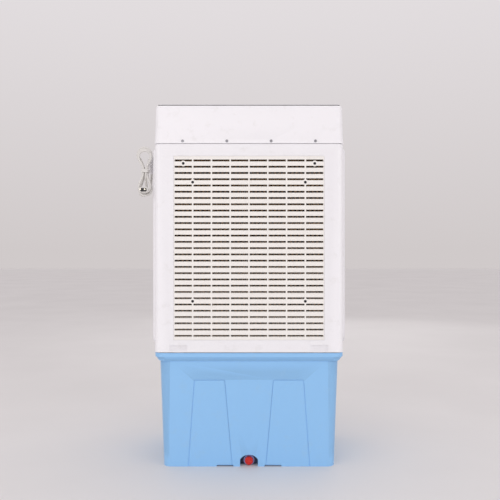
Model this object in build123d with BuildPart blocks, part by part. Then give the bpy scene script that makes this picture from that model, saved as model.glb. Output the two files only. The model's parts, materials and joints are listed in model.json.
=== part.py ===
"""Portable evaporative cooler: a water tank under a fan housing, with a wet pad behind its intake grille.

Millimetres, +Z up. The origin is the middle of the footprint, on the floor.
Air enters at -Y and leaves at +Y.
"""
from build123d import *
import os
from math import atan, cos, degrees, pi, radians, sin, tan

os.makedirs("parts", exist_ok=True)

# Overall sizes
BODY_WIDTH = 564.0          # tank rim, intake panel and front bezel, along X
BODY_DEPTH = 384.0          # intake face to outlet face, along Y
TANK_HEIGHT = 346.0         # floor to the top of the rim
HOUSING_HEIGHT = 625.0      # rim to the seam under the top cover
COVER_HEIGHT = 120.0        # seam to the top
WALL = 3.0                  # moulded walls of the housing
TANK_WALL = 4.0

# Clearances
RUN_FIT = 0.05              # shaft in its bearing, on the radius
PIN_FIT = 0.10              # link hole over its pin, on the radius
SLIDE_FIT = 0.30            # between faces that slide or swing past each other
PANEL_GAP = 1.8             # under the intake panel, so that its heel clears the rim as it swings

# Tank
FOOT_INSET = 23.5           # how far the tank's foot stands in from the rim, on each side
TANK_TAPER = 2.09           # degrees, wider upwards
RIM_STEP = 3.0              # ledge where the rim's slope meets the wall
TANK_CORNER = 24.0
RIM_BAND = 12.0             # upright face of the rim
RIM_UNDERCUT = 13.0         # sloped face under it
DRAIN_RECESS_WIDTH = 54.0
DRAIN_RECESS_HEIGHT = 36.0
DRAIN_RECESS_DEPTH = 26.0
DRAIN_Z = 14.5
PLUG_DIAMETER = 25.0
FILL_WIDTH = 130.0
FILL_HEIGHT = 46.0
FILL_Z = TANK_HEIGHT - 78.0 # middle of the filling opening

# Housing
INTAKE_DEPTH = 45.0         # depth of the swinging intake panel
BEZEL_DEPTH = 45.0          # depth of the front bezel's side walls
SIDE_BULGE = 13.0           # how far each side wall stands out past the rim
HOUSING_CORNER = 20.0

# Intake grille and pad
GRILLE_WIDTH = 448.0
GRILLE_HEIGHT = 548.0
GRILLE_LOW = TANK_HEIGHT + 37.0  # underside of the grille field
SLOT_ROWS = 29
SLOT_BAYS = 8
SLOT_PITCH = 18.68
SLOT_GAP = 6.0
SLOT_SLOPE = 10.0           # degrees, falling outwards
RIB_WIDTH = 4.3
PAD_THICKNESS = 50.0

# Fan
FAN_RADIUS = 184.0
FAN_BLADES = 5
SHROUD_GAP = 5.0            # blade tip to shroud
SHAFT_RADIUS = 6.0
FAN_Z = TANK_HEIGHT + 370.0  # shaft height, level with the outlet's middle

# Air outlet
OUTLET_WIDTH = 450.0
OUTLET_HEIGHT = 340.0
LOUVRES = 5
VANES = 6

DEPTH_HALF = BODY_DEPTH / 2
WIDTH_HALF = BODY_WIDTH / 2
SEAM_Z = TANK_HEIGHT + HOUSING_HEIGHT
TOP_Z = SEAM_Z + COVER_HEIGHT
INTAKE_BACK_Y = -DEPTH_HALF + INTAKE_DEPTH
BEZEL_BACK_Y = DEPTH_HALF - BEZEL_DEPTH


def save(piece, name):
    """Labels a finished piece and writes it to its own file."""
    piece.part.label = name
    export_step(piece.part, f"parts/{name}.step")


def slab(x_span, y_span, z_span, mode=Mode.ADD):
    """A block between a low and a high value on each axis, in the current part."""
    middle = tuple((low + high) / 2 for low, high in (x_span, y_span, z_span))
    size = tuple(high - low for low, high in (x_span, y_span, z_span))
    with Locations(middle):
        Box(*size, mode=mode)


def column(width, depth, z_span, corner, taper=0.0, mode=Mode.ADD):
    """An upright rounded block round the Z axis, in the current part; a negative taper widens it upwards."""
    with BuildSketch(Plane.XY.offset(z_span[0])) as outline:
        RectangleRounded(width, depth, corner)
    extrude(outline.sketch, amount=z_span[1] - z_span[0], taper=taper, mode=mode)


def rod(centre, axis, radius, length, mode=Mode.ADD):
    """A cylinder round its centre along the named axis, in the current part."""
    turn = {"X": (0, 90, 0), "Y": (90, 0, 0), "Z": (0, 0, 0)}[axis]
    with Locations(centre):
        Cylinder(radius, length, rotation=turn, mode=mode)


# ---------------------------------------------------------------- water tank
RIM_LOW_Z = TANK_HEIGHT - RIM_BAND - RIM_UNDERCUT
TANK_FOOT_WIDTH = BODY_WIDTH - 2 * FOOT_INSET
TANK_FOOT_DEPTH = BODY_DEPTH - 2 * FOOT_INSET
TANK_FLARE = tan(radians(TANK_TAPER))


def tank_wall_y(z):
    """Distance of the tank's outer face from the middle at a height, along Y."""
    return TANK_FOOT_DEPTH / 2 + TANK_FLARE * z


def tank_wall_x(z):
    """The same along X."""
    return TANK_FOOT_WIDTH / 2 + TANK_FLARE * z


RIM_NECK_WIDTH = 2 * (tank_wall_x(RIM_LOW_Z) + RIM_STEP)
RIM_NECK_DEPTH = 2 * (tank_wall_y(RIM_LOW_Z) + RIM_STEP)
RIM_SLOPE = degrees(atan((BODY_WIDTH - RIM_NECK_WIDTH) / 2 / RIM_UNDERCUT))
LEDGE_Z = TANK_HEIGHT - RIM_BAND
LINE_DEPTH = 1.4            # groove that outlines the two moulded panels on the tank's back
LINE_WIDTH = 2.4
PANEL_TOP_Z = TANK_HEIGHT - 82.0
PANEL_SPANS = ((-165.0, -72.0, -185.0, -48.5), (72.0, 165.0, 48.5, 185.0))
FOOT_SLOT_HEIGHT = 5.0
FOOT_SLOT_DEPTH = 12.0
CASTER_BORE = 5.6           # radius of the caster stem sockets
CASTER_BORE_DEPTH = 32.0
CASTER_INSET = 55.0
CASTER_BOSS = 13.0
RECESS_BACK_Y = -tank_wall_y(0) + DRAIN_RECESS_DEPTH
SPOUT_BORE = 9.0
SPOUT_RADIUS = PLUG_DIAMETER / 2 + 1.0
FLANGE_GAP = 0.5            # between the spout's flange and the walls of the arch
FLANGE_THICKNESS = 3.0
LEVEL_X = 68.5 - TANK_FOOT_WIDTH / 2  # level tube on the front wall
LEVEL_LOW_Z = 62.0
LEVEL_HIGH_Z = TANK_HEIGHT - 84.0
LEVEL_TUBE_RADIUS = 7.5
LEVEL_TUBE_BORE = 6.0
LEVEL_Y = DEPTH_HALF - LEVEL_TUBE_RADIUS - 1.5
LEVEL_CLIP = 14.0           # height of each clip that holds the level tube
FLAP_WIDTH = FILL_WIDTH + 12.0
FLAP_HEIGHT = FILL_HEIGHT + 12.0
FLAP_THICKNESS = 3.0
HINGE_PIN_RADIUS = 2.0
FLAP_PIN_Z = FILL_Z + FLAP_HEIGHT / 2 + 5.0
FLAP_PIN_Y = tank_wall_y(FLAP_PIN_Z) + 5.5
FLAP_EAR = 5.0
SUCTION_GAP = 8.0           # under the pump, between its feet

with BuildPart() as water_tank:
    column(TANK_FOOT_WIDTH, TANK_FOOT_DEPTH, (0, RIM_LOW_Z), TANK_CORNER, -TANK_TAPER)
    column(RIM_NECK_WIDTH, RIM_NECK_DEPTH, (RIM_LOW_Z, LEDGE_Z), TANK_CORNER, -RIM_SLOPE)
    column(BODY_WIDTH, BODY_DEPTH, (LEDGE_Z, TANK_HEIGHT), TANK_CORNER)
    column(
        TANK_FOOT_WIDTH - 2 * TANK_WALL,
        TANK_FOOT_DEPTH - 2 * TANK_WALL,
        (TANK_WALL, TANK_HEIGHT),
        TANK_CORNER - TANK_WALL,
        -TANK_TAPER,
        Mode.SUBTRACT,
    )
    column(
        BODY_WIDTH - 2 * TANK_WALL,
        BODY_DEPTH - 2 * TANK_WALL,
        (LEDGE_Z, TANK_HEIGHT + 1),
        TANK_CORNER - TANK_WALL,
        mode=Mode.SUBTRACT,
    )
    # two panels that narrow upwards, outlined by a groove in the back wall
    for top_low, top_high, foot_low, foot_high in PANEL_SPANS:
        lean = degrees(atan(TANK_FLARE))
        outward = (0, -cos(radians(lean)), -sin(radians(lean)))
        wall_plane = Plane(origin=(0, -tank_wall_y(0), 0), x_dir=(1, 0, 0), z_dir=outward)
        with BuildSketch(wall_plane) as moulding:
            with BuildLine():
                Polyline(
                    (foot_low, -8),
                    (foot_high, -8),
                    (top_high, PANEL_TOP_Z),
                    (top_low, PANEL_TOP_Z),
                    close=True,
                )
            make_face()
            fillet(moulding.vertices().group_by(Axis.Y)[-1], radius=5)
            offset(amount=-LINE_WIDTH, mode=Mode.SUBTRACT)
        extrude(moulding.sketch, amount=-LINE_DEPTH, mode=Mode.SUBTRACT)
    # arched drain recess with its own walls inside the tank
    arch_rise = DRAIN_RECESS_WIDTH / 2
    for grow, mode in ((TANK_WALL, Mode.ADD), (0.0, Mode.SUBTRACT)):
        with BuildSketch(Plane.XZ.offset(-RECESS_BACK_Y - grow)) as arch:
            with BuildLine():
                half = arch_rise + grow
                rise = DRAIN_RECESS_HEIGHT - arch_rise * 0.55
                Polyline((-half, rise), (-half, 0), (half, 0), (half, rise))
                ThreePointArc((half, rise), (0, DRAIN_RECESS_HEIGHT + grow), (-half, rise))
            make_face()
        reach = tank_wall_y(0) + RECESS_BACK_Y + grow
        extrude(arch.sketch, amount=reach - 2.2 if grow else reach + 5, mode=mode)
    rod((0, RECESS_BACK_Y, DRAIN_Z), "Y", SPOUT_BORE, 4 * TANK_WALL, Mode.SUBTRACT)
    # relief slots under the back edge
    for side in (-1, 1):
        x_low, x_high = sorted((side * 47.0, side * 97.5))
        back = -tank_wall_y(0)
        roof = (x_low - TANK_WALL, x_high + TANK_WALL)
        slab(roof, (back + TANK_WALL, back + FOOT_SLOT_DEPTH + TANK_WALL), (0, FOOT_SLOT_HEIGHT + TANK_WALL))
        slab((x_low, x_high), (back - 3, back + FOOT_SLOT_DEPTH), (-1, FOOT_SLOT_HEIGHT), Mode.SUBTRACT)
    # caster sockets moulded up from the floor
    for x in (-1, 1):
        for y in (-1, 1):
            spot_x = x * (TANK_FOOT_WIDTH / 2 - CASTER_INSET)
            spot_y = y * (TANK_FOOT_DEPTH / 2 - CASTER_INSET)
            boss_height = CASTER_BORE_DEPTH + TANK_WALL
            rod((spot_x, spot_y, boss_height / 2), "Z", CASTER_BOSS, boss_height)
            rod((spot_x, spot_y, CASTER_BORE_DEPTH / 2), "Z", CASTER_BORE, CASTER_BORE_DEPTH, Mode.SUBTRACT)
    # filling opening, flap ears and the clips of the level tube on the front wall
    wall_mid = tank_wall_y(FILL_Z)
    slab(
        (-FILL_WIDTH / 2, FILL_WIDTH / 2),
        (wall_mid - 20, wall_mid + 20),
        (FILL_Z - FILL_HEIGHT / 2, FILL_Z + FILL_HEIGHT / 2),
        Mode.SUBTRACT,
    )
    for side in (-1, 1):
        ear_low, ear_high = sorted((side * (FLAP_WIDTH / 2 + SLIDE_FIT), side * (FLAP_WIDTH / 2 + FLAP_EAR)))
        slab((ear_low, ear_high), (wall_mid - 1, FLAP_PIN_Y + 4.5), (FLAP_PIN_Z - 5, FLAP_PIN_Z + 5))
    through_ears = FLAP_WIDTH + 2 * FLAP_EAR + 2
    rod((0, FLAP_PIN_Y, FLAP_PIN_Z), "X", HINGE_PIN_RADIUS + RUN_FIT, through_ears, Mode.SUBTRACT)
    for z in (LEVEL_LOW_Z, LEVEL_HIGH_Z - LEVEL_CLIP):
        wall = tank_wall_y(z)
        slab((LEVEL_X - 12, LEVEL_X + 12), (wall - 2, DEPTH_HALF - 0.5), (z, z + LEVEL_CLIP))
    rod((LEVEL_X, LEVEL_Y, (LEVEL_LOW_Z + LEVEL_HIGH_Z) / 2 + 5), "Z", LEVEL_TUBE_RADIUS,
        LEVEL_HIGH_Z - LEVEL_LOW_Z, Mode.SUBTRACT)
    rod((LEVEL_X, tank_wall_y(LEVEL_LOW_Z), LEVEL_LOW_Z + 8), "Y", 2.0, 24, Mode.SUBTRACT)
save(water_tank, "water_tank")

with BuildPart() as drain_spout:
    spout_front = RECESS_BACK_Y - 9.0
    rod((0, (RECESS_BACK_Y + spout_front) / 2, DRAIN_Z), "Y", SPOUT_RADIUS, RECESS_BACK_Y - spout_front)
    rod((0, RECESS_BACK_Y + TANK_WALL, DRAIN_Z), "Y", SPOUT_BORE, 2 * TANK_WALL)
    # flange that fills the back of the arch
    with BuildSketch(Plane.XZ.offset(-RECESS_BACK_Y)) as flange:
        with BuildLine():
            half = arch_rise - FLANGE_GAP
            Polyline((-half, rise), (-half, 1), (half, 1), (half, rise))
            ThreePointArc((half, rise), (0, DRAIN_RECESS_HEIGHT - FLANGE_GAP), (-half, rise))
        make_face()
    extrude(flange.sketch, amount=FLANGE_THICKNESS)
    slab((-50, 50), (RECESS_BACK_Y - 20, RECESS_BACK_Y + 1), (-50, 1), Mode.SUBTRACT)
    rod((0, RECESS_BACK_Y + 2 * TANK_WALL + 2, DRAIN_Z), "Y", SPOUT_BORE + 1, 4.0)
    rod((0, RECESS_BACK_Y, DRAIN_Z), "Y", SPOUT_BORE - 2, 60, Mode.SUBTRACT)
save(drain_spout, "drain_spout")

SEAL_THICKNESS = 1.5
SEAL_RADIUS = SPOUT_RADIUS + 3.0
with BuildPart() as drain_seal:
    rod((0, spout_front - SEAL_THICKNESS / 2, DRAIN_Z), "Y", SEAL_RADIUS, SEAL_THICKNESS)
    slab((-50, 50), (spout_front - 10, spout_front + 1), (-50, 1), Mode.SUBTRACT)
    rod((0, spout_front, DRAIN_Z), "Y", SPOUT_BORE - 2 - SLIDE_FIT, 6, Mode.SUBTRACT)
save(drain_seal, "drain_seal")

PLUG_HEAD = 8.0
with BuildPart() as drain_plug:
    head_back = spout_front - SEAL_THICKNESS
    rod((0, head_back - PLUG_HEAD / 2, DRAIN_Z), "Y", PLUG_DIAMETER / 2, PLUG_HEAD)
    fillet(drain_plug.edges().group_by(Axis.Y)[0], radius=1.5)
    # cross grip on the face
    for turn in (0, 90):
        with Locations((0, head_back - PLUG_HEAD - 1.2, DRAIN_Z)):
            Box(PLUG_DIAMETER * 0.72, 2.6, 4.0, rotation=(0, turn, 0))
    rod((0, spout_front + 5, DRAIN_Z), "Y", SPOUT_BORE - 2 - SLIDE_FIT - 0.2, 13 + SEAL_THICKNESS)
save(drain_plug, "drain_plug")

FLAP_BACK_Y = tank_wall_y(FILL_Z + FLAP_HEIGHT / 2) + 1.2
with BuildPart() as fill_flap:
    slab(
        (-FLAP_WIDTH / 2, FLAP_WIDTH / 2),
        (FLAP_BACK_Y, FLAP_BACK_Y + FLAP_THICKNESS),
        (FILL_Z - FLAP_HEIGHT / 2, FLAP_PIN_Z - 2),
    )
    fillet(fill_flap.edges().filter_by(Axis.Y).group_by(Axis.Z)[0], radius=8)
    for side in (-1, 1):
        knuckle_x = side * (FLAP_WIDTH / 2 - 12)
        rod((knuckle_x, FLAP_PIN_Y, FLAP_PIN_Z), "X", 4.0, 24)
        web = (min(FLAP_BACK_Y, FLAP_PIN_Y - 2), FLAP_BACK_Y + FLAP_THICKNESS)
        slab((knuckle_x - 12, knuckle_x + 12), web, (FLAP_PIN_Z - 5, FLAP_PIN_Z))
    # finger lip along the lower edge
    lip_z = FILL_Z - FLAP_HEIGHT / 2 + 3
    slab((-22, 22), (FLAP_BACK_Y + FLAP_THICKNESS, FLAP_BACK_Y + FLAP_THICKNESS + 5), (lip_z, lip_z + 3))
    # moulded trunnions in the tank's ears
    for side in (-1, 1):
        rod((side * FLAP_WIDTH / 2, FLAP_PIN_Y, FLAP_PIN_Z), "X", HINGE_PIN_RADIUS, 2 * FLAP_EAR)
save(fill_flap, "fill_flap")

LEVEL_TUBE_LOW = LEVEL_LOW_Z + 5.0
FLOAT_HEIGHT = 12.0
with BuildPart() as level_tube:
    rod((LEVEL_X, LEVEL_Y, (LEVEL_TUBE_LOW + LEVEL_HIGH_Z) / 2), "Z", LEVEL_TUBE_RADIUS,
        LEVEL_HIGH_Z - LEVEL_TUBE_LOW)
    rod((LEVEL_X, LEVEL_Y, (LEVEL_TUBE_LOW + LEVEL_HIGH_Z) / 2), "Z", LEVEL_TUBE_BORE,
        LEVEL_HIGH_Z - LEVEL_TUBE_LOW + 2, Mode.SUBTRACT)
save(level_tube, "level_tube")

FLOAT_REST_Z = LEVEL_LOW_Z + LEVEL_CLIP + 2.0
with BuildPart() as level_float:
    rod((LEVEL_X, LEVEL_Y, FLOAT_REST_Z + FLOAT_HEIGHT / 2), "Z", LEVEL_TUBE_BORE - SLIDE_FIT, FLOAT_HEIGHT)
    fillet(level_float.edges(), radius=2)
save(level_float, "level_float")

# ---------------------------------------------------------------- pump on the tank floor
PUMP_X = TANK_FOOT_WIDTH / 2 - 53.5
PUMP_Y = -40.0
PUMP_SIDE = 52.0
PUMP_LOW = TANK_WALL + SUCTION_GAP
PUMP_HEIGHT = 50.0
ROTOR_RADIUS = 16.0
CHAMBER_HEIGHT = 16.0
HOSE_RADIUS = 8.0
HOSE_BORE = 6.0
NOZZLE_LENGTH = 14.0
AXLE_RADIUS = 2.0

with BuildPart() as pump_body:
    with BuildSketch(Plane.XY.offset(PUMP_LOW)) as pump_outline:
        with Locations((PUMP_X, PUMP_Y)):
            RectangleRounded(PUMP_SIDE, PUMP_SIDE, 9)
    extrude(amount=PUMP_HEIGHT)
    fillet(pump_body.faces().sort_by(Axis.Z)[-1].edges(), radius=3)
    rod((PUMP_X, PUMP_Y, PUMP_LOW + PUMP_HEIGHT + NOZZLE_LENGTH / 2 - 1), "Z", HOSE_BORE, NOZZLE_LENGTH + 2)
    rod((PUMP_X, PUMP_Y, PUMP_LOW + PUMP_HEIGHT / 2 + 30), "Z", 3.5, PUMP_HEIGHT + 60, Mode.SUBTRACT)
    # impeller chamber, open underneath, with the fixed axle in its roof
    rod((PUMP_X, PUMP_Y, PUMP_LOW + CHAMBER_HEIGHT / 2), "Z", ROTOR_RADIUS + 3, CHAMBER_HEIGHT, Mode.SUBTRACT)
    roof_z = PUMP_LOW + CHAMBER_HEIGHT
    for turn in (0, 90):
        with Locations((PUMP_X, PUMP_Y, roof_z + 3)):
            Box(12, 2.4, 6, rotation=(0, 0, turn))
    rod((PUMP_X, PUMP_Y, roof_z - 3), "Z", AXLE_RADIUS, 14)
save(pump_body, "pump_body")

with BuildPart() as pump_rotor:
    rotor_low = PUMP_LOW + 4.0
    rod((PUMP_X, PUMP_Y, rotor_low + 1.5), "Z", ROTOR_RADIUS, 3)
    rod((PUMP_X, PUMP_Y, rotor_low + 4.5), "Z", 5, 9)
    with Locations((PUMP_X, PUMP_Y, rotor_low + 5)):
        with PolarLocations(ROTOR_RADIUS / 2 + 1.5, 6):
            Box(ROTOR_RADIUS - 4, 1.6, 5)
    rod((PUMP_X, PUMP_Y, rotor_low), "Z", AXLE_RADIUS + RUN_FIT, 40, Mode.SUBTRACT)
save(pump_rotor, "pump_rotor")

with BuildPart() as pump_strainer:
    strainer_side = PUMP_SIDE + 8
    with BuildSketch(Plane.XY.offset(TANK_WALL)) as foot_outline:
        with Locations((PUMP_X, PUMP_Y)):
            RectangleRounded(strainer_side, strainer_side, 11)
    extrude(amount=SUCTION_GAP)
    with BuildSketch(Plane.XY.offset(TANK_WALL + 2)) as foot_hollow:
        with Locations((PUMP_X, PUMP_Y)):
            RectangleRounded(strainer_side - 5, strainer_side - 5, 9)
    extrude(amount=SUCTION_GAP - 4, mode=Mode.SUBTRACT)
    rod((PUMP_X, PUMP_Y, TANK_WALL + SUCTION_GAP), "Z", ROTOR_RADIUS - 1, 6, Mode.SUBTRACT)
    for shift in range(-3, 4):
        slit = (PUMP_X + shift * 7 - 1.5, PUMP_X + shift * 7 + 1.5)
        through = (PUMP_Y - strainer_side / 2 - 1, PUMP_Y + strainer_side / 2 + 1)
        slab(slit, through, (TANK_WALL + 2, TANK_WALL + SUCTION_GAP - 2), Mode.SUBTRACT)
save(pump_strainer, "pump_strainer")

# ---------------------------------------------------------------- housing
DECK_THICKNESS = 4.0
DECK_TOP = LEDGE_Z + DECK_THICKNESS
RETURN_WIDTH = 472.0        # opening where the pad drains back into the tank
RETURN_SPAN = (-176.0, -98.0)
PANEL_BOTTOM = TANK_HEIGHT + PANEL_GAP
PANEL_TOP = SEAM_Z - 0.8
PANEL_BACK_Y = INTAKE_BACK_Y - 0.5
LATCH_X = WIDTH_HALF - 72.0
LATCH_WIDTH = 52.0
LATCH_HEIGHT = 18.0
LATCH_TRAVEL = 6.0
LATCH_LOW = PANEL_BOTTOM + 3.5
TONGUE_Y = (-DEPTH_HALF + 9.0, -DEPTH_HALF + 12.5)
TONGUE_HALF = 9.0
TONGUE_TIP = PANEL_BOTTOM + WALL + 1.0
KEEPER_TOP = TONGUE_TIP + 8.0
KEEPER_HALF = TONGUE_HALF + 6.0
KEEPER_Y = (TONGUE_Y[1] + 1.0, TONGUE_Y[1] + 4.0)
SIDE_X = WIDTH_HALF - WALL  # inner face of the side walls

with BuildPart() as base_deck:
    column(
        BODY_WIDTH - 2 * TANK_WALL - 1,
        BODY_DEPTH - 2 * TANK_WALL - 1,
        (LEDGE_Z, DECK_TOP),
        TANK_CORNER - TANK_WALL - 0.5,
    )
    slab((-RETURN_WIDTH / 2, RETURN_WIDTH / 2), RETURN_SPAN, (LEDGE_Z - 1, DECK_TOP + 1), Mode.SUBTRACT)
    # splash lip behind the return opening
    lip_y = RETURN_SPAN[1]
    slab((-RETURN_WIDTH / 2, RETURN_WIDTH / 2), (lip_y, lip_y + WALL), (DECK_TOP, DECK_TOP + 12))
    rod((PUMP_X, PUMP_Y, LEDGE_Z), "Z", HOSE_RADIUS + 2, 20, Mode.SUBTRACT)
    # stops that the latch tongues rest in front of
    for side in (-1, 1):
        keeper_x = side * LATCH_X
        slab((keeper_x - KEEPER_HALF, keeper_x + KEEPER_HALF), KEEPER_Y, (DECK_TOP, KEEPER_TOP))
save(base_deck, "base_deck")

BULGE_LOW = TANK_HEIGHT + 24.0
BULGE_HIGH = SEAM_Z - 5.0
BULGE_HALF_DEPTH = BEZEL_BACK_Y - 6.0
CORD_Y = -105.0             # where the mains lead leaves the side wall
CORD_EXIT_Z = SEAM_Z - 44.0
GLAND_STEM = 7.0
PANEL_PIN_RADIUS = 1.5
PANEL_PIN_Z = SEAM_Z - 3.5
EAR_X = WIDTH_HALF - 57.0
EAR_HALF = 4.0
EAR_RADIUS = 3.0
EAR_SKIN = 1.6              # front wall left in front of each ear
PANEL_PIN_Y = -DEPTH_HALF + EAR_SKIN + SLIDE_FIT + EAR_RADIUS


def side_wall(side, name):
    """One side wall: a flat sheet with a pressed-out middle that stands past the rim."""
    with BuildPart() as wall:
        low, high = sorted((side * SIDE_X, side * WIDTH_HALF))
        slab((low, high), (INTAKE_BACK_Y, BEZEL_BACK_Y), (TANK_HEIGHT, SEAM_Z))
        middle_z = (BULGE_LOW + BULGE_HIGH) / 2
        facing = Plane(origin=(side * SIDE_X, 0, middle_z), x_dir=(0, 1, 0), z_dir=(side, 0, 0))
        with BuildSketch(facing) as outer:
            RectangleRounded(2 * BULGE_HALF_DEPTH, BULGE_HIGH - BULGE_LOW, HOUSING_CORNER)
        extrude(outer.sketch, amount=WALL + SIDE_BULGE)
        fillet(wall.faces().sort_by(Axis.X)[-1 if side > 0 else 0].edges(), radius=10)
        with BuildSketch(facing) as inner:
            RectangleRounded(
                2 * (BULGE_HALF_DEPTH - WALL), BULGE_HIGH - BULGE_LOW - 2 * WALL, HOUSING_CORNER - WALL
            )
        extrude(inner.sketch, amount=SIDE_BULGE, mode=Mode.SUBTRACT)
        if side < 0:
            rod((side * (WIDTH_HALF + SIDE_BULGE), CORD_Y, CORD_EXIT_Z), "X", GLAND_STEM, 40, Mode.SUBTRACT)
    save(wall, name)


side_wall(-1, "left_side_wall")
side_wall(1, "right_side_wall")

HEADER_THICKNESS = 4.0
HEADER_FRONT_Y = -70.0
TROUGH_LOW = SEAM_Z - HEADER_THICKNESS - 16.0
RAIL_Y = -DEPTH_HALF + WALL + 1.0
RAIL_HALF = WIDTH_HALF - HOUSING_CORNER
SCREW_SHANK = 1.8
COVER_SCREW_Z = SEAM_Z + 7.0
COVER_SCREW_XS = (-198.0, -66.0, 66.0, 198.0)
with BuildPart() as rear_header:
    slab((-SIDE_X, SIDE_X), (INTAKE_BACK_Y, HEADER_FRONT_Y), (SEAM_Z - HEADER_THICKNESS, SEAM_Z))
    slab((-SIDE_X, SIDE_X), (INTAKE_BACK_Y, INTAKE_BACK_Y + WALL), (TROUGH_LOW, SEAM_Z))
    # shelf over the swinging panel, with the rail that the cover is screwed to
    slab((-RAIL_HALF, RAIL_HALF), (RAIL_Y, HEADER_FRONT_Y), (SEAM_Z, SEAM_Z + WALL))
    slab((-RAIL_HALF, RAIL_HALF), (RAIL_Y, RAIL_Y + WALL), (SEAM_Z, SEAM_Z + 16))
    for x in COVER_SCREW_XS:
        rod((x, RAIL_Y, COVER_SCREW_Z), "Y", SCREW_SHANK, 12, Mode.SUBTRACT)
    for side in (-1, 1):
        ear = (side * EAR_X - EAR_HALF, side * EAR_X + EAR_HALF)
        slab(ear, (PANEL_PIN_Y, INTAKE_BACK_Y + 1), (PANEL_PIN_Z - EAR_RADIUS, PANEL_PIN_Z + EAR_RADIUS))
        rod((side * EAR_X, PANEL_PIN_Y, PANEL_PIN_Z), "X", EAR_RADIUS, 2 * EAR_HALF)
        rod((side * EAR_X, PANEL_PIN_Y, PANEL_PIN_Z), "X", PANEL_PIN_RADIUS + RUN_FIT, 30, Mode.SUBTRACT)
save(rear_header, "rear_header")

# ---------------------------------------------------------------- swinging intake panel
GRILLE_MIDDLE = GRILLE_LOW + GRILLE_HEIGHT / 2 + 2
GRILLE_FRONT_Y = -DEPTH_HALF + 0.5
GRILLE_SEAT_Y = -DEPTH_HALF + WALL
GRILLE_BACK_Y = GRILLE_SEAT_Y + 5.5
GRILLE_LAP = 6.0
PAD_FRAME_WALL = 6.0
PAD_FRONT_Y = GRILLE_BACK_Y + PAD_FRAME_WALL
PAD_BACK_Y = PAD_FRONT_Y + PAD_THICKNESS
PAD_HALF = GRILLE_WIDTH / 2 + 2
PAD_LOW = GRILLE_LOW - 4.0
PAD_HIGH = TROUGH_LOW - 5.0
SCREW_HEAD = 4.0
BOSS_RADIUS = 8.5
SLOT_TOP_Z = GRILLE_MIDDLE + (SLOT_ROWS - 1) / 2 * SLOT_PITCH
BAY_PITCH = GRILLE_WIDTH / SLOT_BAYS


def between_rows(row):
    """Height of the blade under the given slot row, counted from the top."""
    return SLOT_TOP_Z - (row + 0.5) * SLOT_PITCH


SCREW_SPOTS = [
    (side * across, between_rows(row))
    for across, row in ((3.5 * BAY_PITCH, 0), (3 * BAY_PITCH, 3), (3 * BAY_PITCH, 22))
    for side in (-1, 1)
]
FRAME_CORNER = 16.0

with BuildPart() as rear_frame:
    with BuildSketch(Plane.XY.offset(PANEL_BOTTOM)) as frame_plan:
        with Locations((0, (-DEPTH_HALF + PANEL_BACK_Y) / 2)):
            Rectangle(BODY_WIDTH, PANEL_BACK_Y + DEPTH_HALF)
        fillet(frame_plan.vertices().group_by(Axis.Y)[0], radius=FRAME_CORNER)
    extrude(amount=PANEL_TOP - PANEL_BOTTOM)
    front_top = rear_frame.edges().filter_by(Axis.X).group_by(Axis.Z)[-1].sort_by(Axis.Y)[0]
    fillet(front_top, radius=4)
    with BuildSketch(Plane.XY.offset(PANEL_BOTTOM + WALL)) as hollow_plan:
        with Locations((0, (-DEPTH_HALF + WALL + PANEL_BACK_Y + 5) / 2)):
            Rectangle(BODY_WIDTH - 2 * WALL, PANEL_BACK_Y + DEPTH_HALF - WALL + 5)
        fillet(hollow_plan.vertices().group_by(Axis.Y)[0], radius=FRAME_CORNER - WALL)
    extrude(amount=PANEL_TOP - PANEL_BOTTOM - 2 * WALL, mode=Mode.SUBTRACT)
    slab(
        (-GRILLE_WIDTH / 2 - 0.5, GRILLE_WIDTH / 2 + 0.5),
        (-DEPTH_HALF - 1, GRILLE_SEAT_Y + 1),
        (GRILLE_MIDDLE - GRILLE_HEIGHT / 2 - 0.5, GRILLE_MIDDLE + GRILLE_HEIGHT / 2 + 0.5),
        Mode.SUBTRACT,
    )
    # hinge cheeks and the slots that the fixed ears come through
    for side in (-1, 1):
        for cheek in (-1, 1):
            inner = side * EAR_X + cheek * (EAR_HALF + 1)
            low, high = sorted((inner, inner + cheek * 8))
            slab((low, high), (GRILLE_SEAT_Y - 1, PANEL_PIN_Y + 4), (PANEL_TOP - 8, PANEL_TOP - 1))
        gap = (side * EAR_X - EAR_HALF - 1, side * EAR_X + EAR_HALF + 1)
        slab(gap, (-DEPTH_HALF + EAR_SKIN, PANEL_BACK_Y + 5), (PANEL_TOP - 9, PANEL_TOP + 1), Mode.SUBTRACT)
        pin_spot = (side * EAR_X, PANEL_PIN_Y, PANEL_PIN_Z)
        rod(pin_spot, "X", PANEL_PIN_RADIUS, 2 * (EAR_HALF + 9), Mode.SUBTRACT)
        # latch window, and the bay that clears the keeper as the panel swings
        window = (side * LATCH_X - LATCH_WIDTH / 2, side * LATCH_X + LATCH_WIDTH / 2)
        window_z = (LATCH_LOW, LATCH_LOW + LATCH_HEIGHT)
        slab(window, (-DEPTH_HALF - 1, GRILLE_SEAT_Y + 1), window_z, Mode.SUBTRACT)
        bay = (side * LATCH_X - KEEPER_HALF - 1, side * LATCH_X + KEEPER_HALF + 1)
        bay_z = (PANEL_BOTTOM - 1, PANEL_BOTTOM + WALL + 1)
        slab(bay, (KEEPER_Y[0] - 1, PANEL_BACK_Y + 1), bay_z, Mode.SUBTRACT)
save(rear_frame, "rear_frame")

with BuildPart() as panel_hinge_pins:
    for side in (-1, 1):
        rod((side * EAR_X, PANEL_PIN_Y, PANEL_PIN_Z), "X", PANEL_PIN_RADIUS, 2 * (EAR_HALF + 9) - 2)
save(panel_hinge_pins, "panel_hinge_pins")

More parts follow.
